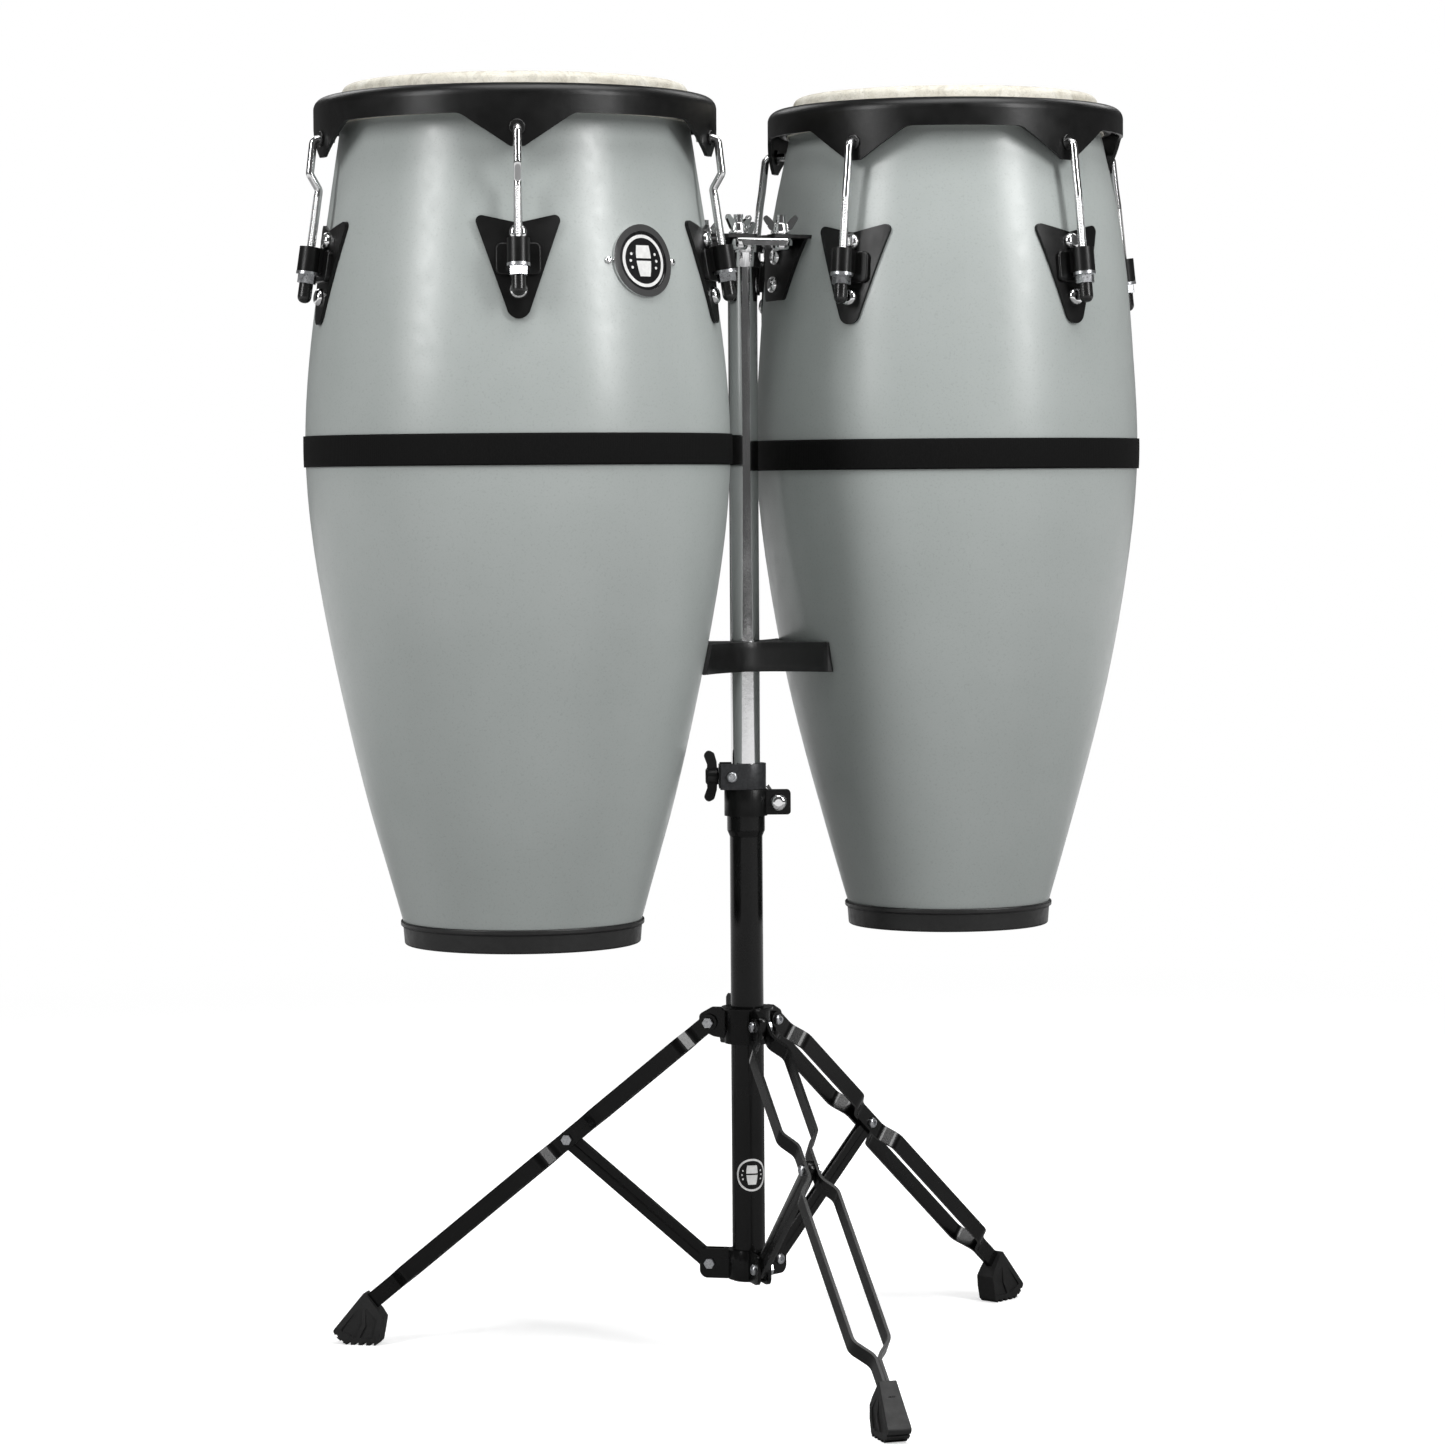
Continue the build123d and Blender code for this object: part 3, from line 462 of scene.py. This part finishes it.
def hide(drum):
    """The drum's skin: a tight top, a rolled shoulder and a lapped skirt."""
    node = f"{drum}_head"
    axis = drum_axis(drum)
    low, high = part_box(node)
    rows = radii(node, axis)
    outer = max(r for _, r in rows)
    flat = max(r for z, r in rows if z > high.z - 0.2 * MM) - 1 * MM
    centre_r = 0.6 * MM
    profile = [(centre_r, high.z - CROWN * 0.2)]
    profile += [(flat * step / FLAT_RINGS, high.z - CROWN * (1 - step / FLAT_RINGS) * 0.5)
                for step in range(1, FLAT_RINGS + 1)]
    profile += arc(flat, high.z - SHOULDER, SHOULDER, 88, 12, SHOULDER_STEPS)
    swelling = len(profile) - 1
    r, z = profile[-1]
    profile += [(r + (outer - r) * t / SKIRT_STEPS, z + (low.z - z) * t / SKIRT_STEPS)
                for t in range(1, SKIRT_STEPS + 1)]
    inside = [(r - HIDE_THICK, z) for r, z in reversed(profile[FLAT_RINGS + 1:])]
    inside[-1] = (inside[-1][0], high.z - HIDE_UNDERSIDE)
    profile += inside + [(centre_r, high.z - HIDE_UNDERSIDE)]
    vertices = []
    for index, (r, z) in enumerate(profile):
        for j in range(HEAD_SEGMENTS):
            angle = 2 * math.pi * j / HEAD_SEGMENTS
            spot = Vector((r * math.cos(angle), r * math.sin(angle), z))
            swell = noise.noise(spot / SWELL_SIZE) * SWELL if index < swelling else 0.0
            vertices.append((axis.x + spot.x, axis.y + spot.y, min(high.z, z + swell)))
    faces = [tuple(reversed(face)) for face in grid_faces(len(profile), HEAD_SEGMENTS)]
    faces.append(tuple(range(HEAD_SEGMENTS)))
    last = (len(profile) - 1) * HEAD_SEGMENTS
    faces.append(tuple(reversed(range(last, last + HEAD_SEGMENTS))))
    made = make_object(f"{drum}_hide", vertices, faces, HIDE)
    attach(made, f"{drum}_drum")
    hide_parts(node)


# -------------------------------------------------------------- belly bands

def woven_band(drum):
    """Ribbed webbing glued round the belly, with a rolled edge each side."""
    node = f"{drum}_belly_band"
    axis = drum_axis(drum)
    low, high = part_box(node)
    rows = radii(node, axis)
    outer = max(r for _, r in rows)
    edge_low = max(r for z, r in rows if z < low.z + 0.5 * MM)
    edge_high = max(r for z, r in rows if z > high.z - 0.5 * MM)
    columns = round(2 * math.pi * outer / BAND_RIB) * RIB_STEPS
    vertices = []
    for i in range(BAND_ROWS + 1):
        t = i / BAND_ROWS
        bulge = (outer - (edge_low + edge_high) / 2) * 4 * t * (1 - t)
        base = edge_low + (edge_high - edge_low) * t + bulge + 0.15 * MM
        edge = min(t, 1 - t) * (high.z - low.z)
        if edge <= SELVEDGE:
            base += SELVEDGE_RISE * math.sin(math.pi * edge / SELVEDGE)
        ribbed = RIB_DEPTH * (1.0 if edge > 1.8 * MM else 0.35)
        for j in range(columns):
            angle = 2 * math.pi * j / columns
            valley = (1 + math.cos(2 * math.pi * j / RIB_STEPS)) / 2
            pick = 0.15 * (1 - math.cos(math.pi * i / 2 + math.pi * (j // RIB_STEPS)))
            r = base - ribbed * valley * (0.7 + pick)
            vertices.append((axis.x + r * math.cos(angle), axis.y + r * math.sin(angle),
                             low.z + (high.z - low.z) * t))
    for z, r in ((high.z, edge_high - BAND_THICK), (low.z, edge_low - BAND_THICK)):
        for j in range(columns):
            angle = 2 * math.pi * j / columns
            vertices.append((axis.x + r * math.cos(angle), axis.y + r * math.sin(angle), z))
    faces = grid_faces(BAND_ROWS + 3, columns, close_rows=True)
    made = make_object(f"{drum}_woven_band", vertices, faces, WEBBING)
    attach(made, f"{drum}_drum")
    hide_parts(node)


# ------------------------------------------------------------ hook threads

def loose_parts(node):
    """The separate solids of a CAD node, as lists of vertex positions."""
    mesh = NODES[node].data
    welded = {}
    parent = []

    def root(index):
        while parent[index] != index:
            parent[index] = parent[parent[index]]
            index = parent[index]
        return index

    slots = []
    for vertex in mesh.vertices:
        key = tuple(round(c * 20000) for c in vertex.co)
        if key not in welded:
            welded[key] = len(parent)
            parent.append(len(parent))
        slots.append(welded[key])
    for polygon in mesh.polygons:
        corners = [slots[i] for i in polygon.vertices]
        for corner in corners[1:]:
            parent[root(corner)] = root(corners[0])
    groups = {}
    for vertex, slot in zip(mesh.vertices, slots):
        groups.setdefault(root(slot), []).append(vertex.co.copy())
    return list(groups.values())


def middle_of(points):
    """The middle of a ring of points, whatever their spacing."""
    low = Vector(map(min, *points))
    high = Vector(map(max, *points))
    return (low + high) / 2


def shank(points):
    """Lower end and upper end of a hook's straight threaded stretch."""
    bottom = min(p.z for p in points)
    end = middle_of([p for p in points if p.z < bottom + 0.003])
    above = [p for p in points if p.z > bottom + 0.02]
    start = min(p.z for p in above)
    top = middle_of([p for p in above if p.z < start + 0.0025])
    return end, top


def thread(drum):
    """A rolled thread on the straight stretch of all five hooks."""
    vertices, faces = [], []
    for points in loose_parts(f"{drum}_tuning_hooks"):
        end, top = shank(points)
        along = (top - end).normalized()
        side = along.orthogonal().normalized()
        other = along.cross(side)
        length = (top - end).length - 2 * MM
        rows = int(length / THREAD_PITCH * THREAD_ROWS)
        first = len(vertices)
        for i in range(rows + 1):
            distance = length * i / rows
            fade = min(1.0, i / THREAD_ROWS, (rows - i) / (3 * THREAD_ROWS))
            for j in range(THREAD_SIDES):
                turn = j / THREAD_SIDES
                phase = (distance / THREAD_PITCH + turn) % 1.0
                ridge = 1 - abs(2 * phase - 1)
                r = THREAD_ROOT + THREAD_DEPTH * ridge * fade
                angle = 2 * math.pi * turn
                out = side * math.cos(angle) + other * math.sin(angle)
                vertices.append(end + along * distance + r * out)
        faces += [tuple(first + k for k in face) for face in grid_faces(rows + 1, THREAD_SIDES)]
        faces.append(tuple(reversed(range(first, first + THREAD_SIDES))))
        last = first + rows * THREAD_SIDES
        faces.append(tuple(range(last, last + THREAD_SIDES)))
    made = make_object(f"{drum}_hook_threads", vertices, faces, BRIGHT_WIRE)
    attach(made, f"{drum}_drum")


# ------------------------------------------------------------------ emblem

def emblem_shapes():
    """Flat polygons of a small barrel in a ring, on a disc of radius 1."""
    def spot(r, turn):
        return (r * math.cos(turn), r * math.sin(turn))

    ring_r, ring_in, steps = 0.98, 0.86, 72
    shapes = []
    for i in range(steps):
        a, b = (2 * math.pi * k / steps for k in (i, i + 1))
        shapes.append([spot(ring_r, a), spot(ring_r, b), spot(ring_in, b), spot(ring_in, a)])
    half_height, slices, band = 0.58, 24, (12, 13)
    for i in range(slices):
        if i in band:
            continue
        z0, z1 = (half_height * (2 * k / slices - 1) for k in (i, i + 1))
        w0, w1 = (0.22 + 0.13 * math.cos((z - 0.12) * 2.0) for z in (z0, z1))
        for k in range(8):
            a, b = k / 4 - 1, (k + 1) / 4 - 1
            shapes.append([(a * w0, z0), (b * w0, z0), (b * w1, z1), (a * w1, z1)])
    dot_r, dots_at = 0.055, 0.62
    for side in (-1, 1):
        for tilt in (-0.42, 0.0, 0.42):
            cx, cz = spot(dots_at, tilt)
            dot = [spot(dot_r, k * math.pi / 6) for k in range(12)]
            shapes.append([(side * cx + x, cz + z) for x, z in dot])
    return shapes


def prism_faces(first, count):
    """Front and sides of a flat prism: front corners first, then the back ones."""
    sides = [(first + k, first + count + k, first + count + (k + 1) % count, first + (k + 1) % count)
             for k in range(count)]
    return [tuple(range(first, first + count))] + sides


def emblem(name, centre, outward, radius, surface, lift, body):
    """The emblem as thin raised print that follows a CAD surface."""
    target = BVHTree.FromPolygons([v.co for v in surface.data.vertices],
                                  [tuple(p.vertices) for p in surface.data.polygons])
    up = Vector((0, 0, 1))
    up = (up - outward * up.dot(outward)).normalized()
    across = up.cross(outward)
    vertices, faces = [], []
    for polygon in emblem_shapes():
        first = len(vertices)
        for height in (lift, -0.1 * MM):
            for x, z in polygon:
                start = centre + (across * x + up * z) * radius + outward * 0.05
                hit, normal, _, _ = target.ray_cast(start, -outward)
                vertices.append(hit + outward * height)
        faces += prism_faces(first, len(polygon))
    made = make_object(name, vertices, faces, PRINT_WHITE, smooth=False)
    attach(made, body)


def badge_emblem():
    low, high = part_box("large_badge_face")
    centre = (low + high) / 2
    outward = centre - drum_axis("large")
    outward.z = 0
    outward.normalize()
    emblem("badge_emblem", centre, outward, BADGE_EMBLEM_R, NODES["large_badge_face"], 0.25 * MM,
           "large_drum")


def tube_emblem():
    """The printed ring on the front of the base tube, wrapped round it."""
    foot = tube_foot()
    tube_r = max(r for z, r in radii("base_tube", foot) if z < 0.4)
    facing = math.radians(TUBE_EMBLEM_DEG)
    vertices, faces = [], []
    for polygon in emblem_shapes():
        first = len(vertices)
        for r in (tube_r + 0.1 * MM, tube_r - 0.1 * MM):
            for x, z in polygon:
                angle = facing + x * TUBE_EMBLEM_R / tube_r
                spot = Vector((r * math.sin(angle), -r * math.cos(angle), TUBE_EMBLEM_Z + z * TUBE_EMBLEM_R))
                vertices.append(foot + spot)
        faces += prism_faces(first, len(polygon))
    made = make_object("tube_emblem", vertices, faces, PRINT_WHITE, smooth=False)
    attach(made, "base")


# ---------------------------------------------------------------- dressing

def dress_cad():
    for drum in DRUMS:
        for part, material in FINISHES.items():
            coat(f"{drum}_{part}", material)
        axis = drum_axis(drum)

        def inward(centre, normal):
            return (centre - axis).xy.dot(normal.xy) < 0

        second_finish(f"{drum}_shell", WOOD, inward)
    for node, material in OTHER_FINISHES.items():
        coat(node, material)
    for node in NODES:
        for start, width in BEVELS.items():
            if node.startswith(start):
                soften(node, width)
                break


BOLT_HEAD_R = 5.2 * MM
BOLT_SHANK_R = 2.4 * MM
STRAP_OUTSIDE = 5.95 * MM    # from the leg's middle plane


def dress_leg_bolts():
    """Zinc on the bolt that joins each leg to its brace."""
    joints = {joint["name"]: joint for joint in frame["joints"]}
    for side in LEGS:
        joint = joints[f"leg_{side}_fold"]
        pivot = Vector(joint["pos_m"])
        axis = Vector(joint["axis"])

        def on_bolt(centre, normal):
            away = centre - pivot
            off = away - axis * away.dot(axis)
            head = off.length < BOLT_HEAD_R and abs(away.dot(axis)) > STRAP_OUTSIDE
            return head or off.length < BOLT_SHANK_R

        second_finish(f"leg_{side}", ZINC, on_bolt)


# -------------------------------------------------------------------- stage

FLOOR_RADIUS = 14.0
WHITE_FROM, WHITE_TO = 1.6, 3.2
FLOOR_GLOW = 0.5
FLOOR_BOUNCE = 0.3


def floor():
    """A pale floor that turns into a glowing white sweep far away.

    It bounces less light than it shows, as black cards beside the camera would do.
    """
    g = Graph("pale_floor", (0.86, 0.86, 0.86), 0.7, Specular_IOR_Level=0.1)
    g.set("Emission Color", (1, 1, 1, 1))
    seen = g.node("ShaderNodeLightPath").outputs["Is Camera Ray"]
    pale = g.ramp(g.noise(0.05), [(0.3, 0.85), (0.7, 0.88)])
    g.color(g.mix(seen, (FLOOR_BOUNCE,) * 3, pale))
    g.link(g.math("MULTIPLY", seen, FLOOR_GLOW), g.shader.inputs["Emission Strength"])
    radial = g.node("ShaderNodeVectorMath", operation="LENGTH")
    g.link(g.place, radial.inputs[0])
    fade = g.node("ShaderNodeMapRange", interpolation_type="SMOOTHSTEP")
    fade.inputs["From Min"].default_value = WHITE_FROM
    fade.inputs["From Max"].default_value = WHITE_TO
    g.link(radial.outputs["Value"], fade.inputs["Value"])
    glow = g.node("ShaderNodeEmission")
    glow.inputs["Strength"].default_value = 1.0
    blend = g.node("ShaderNodeMixShader")
    g.link(fade.outputs["Result"], blend.inputs["Fac"])
    g.link(g.shader.outputs["BSDF"], blend.inputs[1])
    g.link(glow.outputs["Emission"], blend.inputs[2])
    g.link(blend.outputs["Shader"], g.tree.nodes["Material Output"].inputs["Surface"])
    steps = 96
    turns = [2 * math.pi * i / steps for i in range(steps)]
    vertices = [(FLOOR_RADIUS * math.cos(turn), FLOOR_RADIUS * math.sin(turn), 0) for turn in turns]
    made = make_object("studio_floor", vertices, [tuple(range(steps))], g.material)


ROOM_LIGHT = 0.09            # the room's brightness, except straight to the camera


def softbox(name, place, aim, width, height, power):
    light = bpy.data.lights.new(name, "AREA")
    light.shape = "RECTANGLE"
    light.size, light.size_y = width, height
    light.energy = power
    made = bpy.data.objects.new(name, light)
    made.location = place
    made.rotation_euler = (Vector(aim) - Vector(place)).to_track_quat("-Z", "Y").to_euler()
    bpy.context.scene.collection.objects.link(made)


def studio_light():
    """White room for the camera, dimmer for the object, and softboxes."""
    world = bpy.data.worlds.new("studio")
    bpy.context.scene.world = world
    world.use_nodes = True
    tree = world.node_tree
    background = tree.nodes["Background"]
    background.inputs["Color"].default_value = (1, 1, 1, 1)
    background.inputs["Strength"].default_value = ROOM_LIGHT
    shown = tree.nodes.new("ShaderNodeBackground")
    shown.inputs["Strength"].default_value = 1.0
    shown.inputs["Color"].default_value = (1, 1, 1, 1)
    path = tree.nodes.new("ShaderNodeLightPath")
    blend = tree.nodes.new("ShaderNodeMixShader")
    tree.links.new(path.outputs["Is Camera Ray"], blend.inputs["Fac"])
    tree.links.new(background.outputs["Background"], blend.inputs[1])
    tree.links.new(shown.outputs["Background"], blend.inputs[2])
    tree.links.new(blend.outputs["Shader"], tree.nodes["World Output"].inputs["Surface"])
    softbox("key_left", (-2.5, -1.9, 2.3), (-0.1, 0, 0.9), 0.7, 2.0, 64)
    softbox("key_right", (2.4, -2.1, 2.3), (0.1, 0, 0.9), 0.6, 2.0, 78)
    softbox("overhead", (0.3, -0.6, 3.2), (0, 0, 0.4), 2.4, 1.6, 66)
    softbox("back_left", (-1.6, 2.6, 3.0), (0, 0, 0.8), 1.0, 1.4, 16)
    softbox("back_right", (1.8, 2.4, 3.0), (0, 0, 0.8), 1.0, 1.4, 16)


def camera():
    data = bpy.data.cameras.new("camera")
    data.lens = CAMERA_LENS
    data.sensor_width = 36.0
    made = bpy.data.objects.new("camera", data)
    turn, pitch, roll = (math.radians(angle) for angle in (CAMERA_TURN, 90 - CAMERA_PITCH, CAMERA_ROLL))
    facing = Matrix.Rotation(turn, 4, "Z") @ Matrix.Rotation(pitch, 4, "X") @ Matrix.Rotation(roll, 4, "Z")
    made.matrix_world = Matrix.Translation(tube_foot() + Vector(CAMERA_PLACE)) @ facing
    bpy.context.scene.collection.objects.link(made)
    bpy.context.scene.camera = made


dress_cad()
dress_leg_bolts()
for drum_name in DRUMS:
    hide(drum_name)
    woven_band(drum_name)
    thread(drum_name)
badge_emblem()
tube_emblem()
floor()
studio_light()
camera()
bpy.context.scene.view_settings.view_transform = "Standard"
